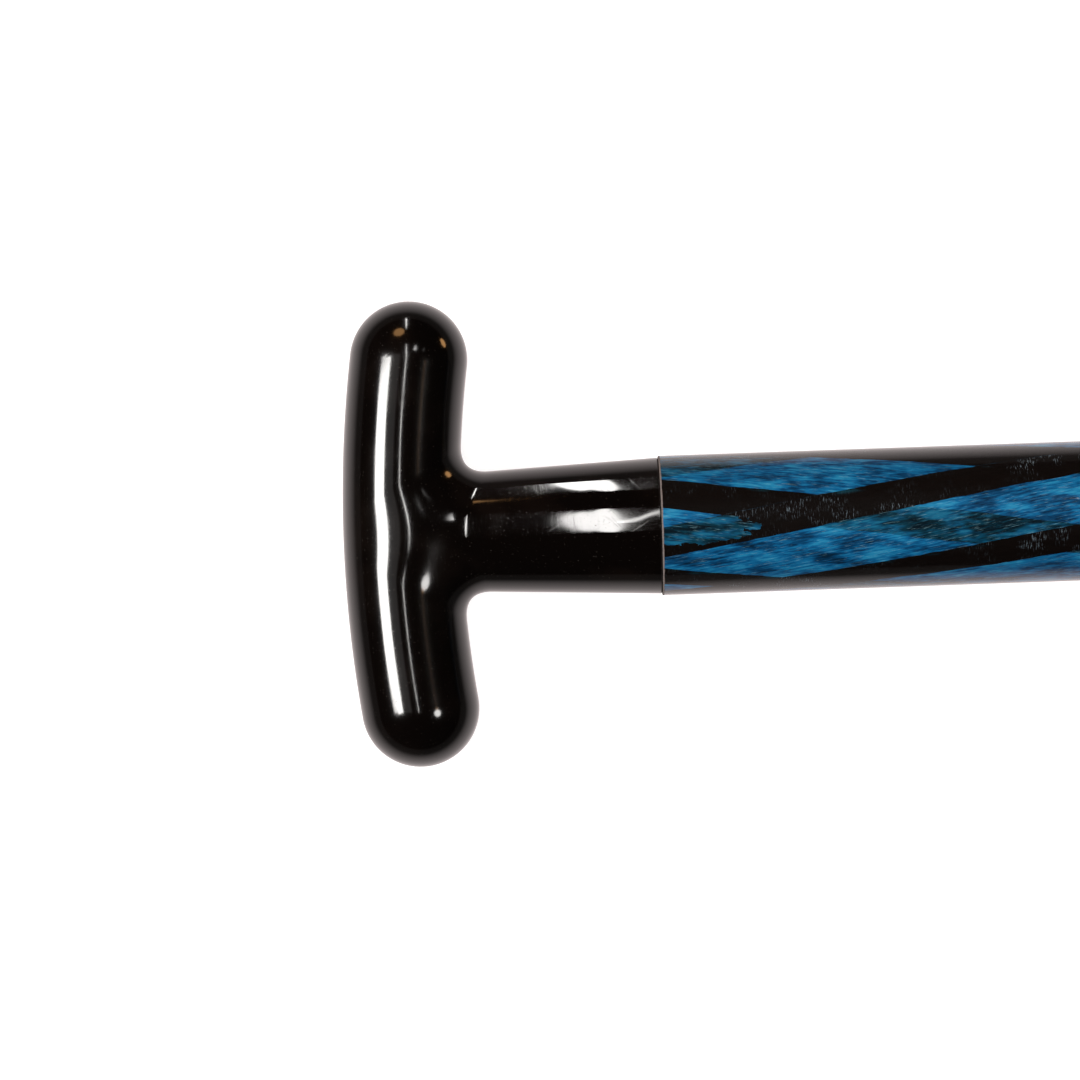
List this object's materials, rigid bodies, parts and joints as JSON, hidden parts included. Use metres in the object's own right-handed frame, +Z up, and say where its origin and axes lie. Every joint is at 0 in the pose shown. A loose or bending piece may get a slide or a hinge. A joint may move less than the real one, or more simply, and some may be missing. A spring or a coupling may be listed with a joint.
{
  "type": "canoe paddle",
  "caption": "Single-blade canoe paddle with a bowed T grip, a braided composite shaft and a flat foam-core blade.",
  "frame": {"origin": "on the surface that the paddle lies on, under the middle of its length and width", "axes": "+X along the shaft from the grip to the tip of the blade, +Y along the width of the blade, +Z up"},
  "size_m": [1.42, 0.2, 0.0354],
  "materials": {
    "grip": "moulded, polished gloss black with fine handling scratches",
    "foam": "closed-cell foam, bare",
    "adhesive": "cured adhesive, bare",
    "glass_laminate": "wound glass and resin tube, ground",
    "braid": "braid of blue and black tows, wetted out in resin",
    "clear_resin": "clear gloss resin over the blue and black braid",
    "cedar": "turned cedar, bare",
    "blade_laminate": "black carbon twill under clear gloss resin",
    "edge_resin": "black fibre rope wetted out in resin, sanded satin",
    "guard_metal": "brushed aluminium alloy with scuffs along the edge"
  },
  "bodies": {
    "root": {"grip_shell": "grip", "grip_core": "foam", "grip_glue": "adhesive", "shaft_tube": "glass_laminate", "braided_sleeve": "braid", "clear_sleeve": "clear_resin", "stringer": "cedar", "shaft_bond": "adhesive", "blade_core": "foam", "upper_skin": "blade_laminate", "lower_skin": "blade_laminate", "left_edge_band": "edge_resin", "right_edge_band": "edge_resin", "tip_guard": "guard_metal"}
  },
  "joints": []
}
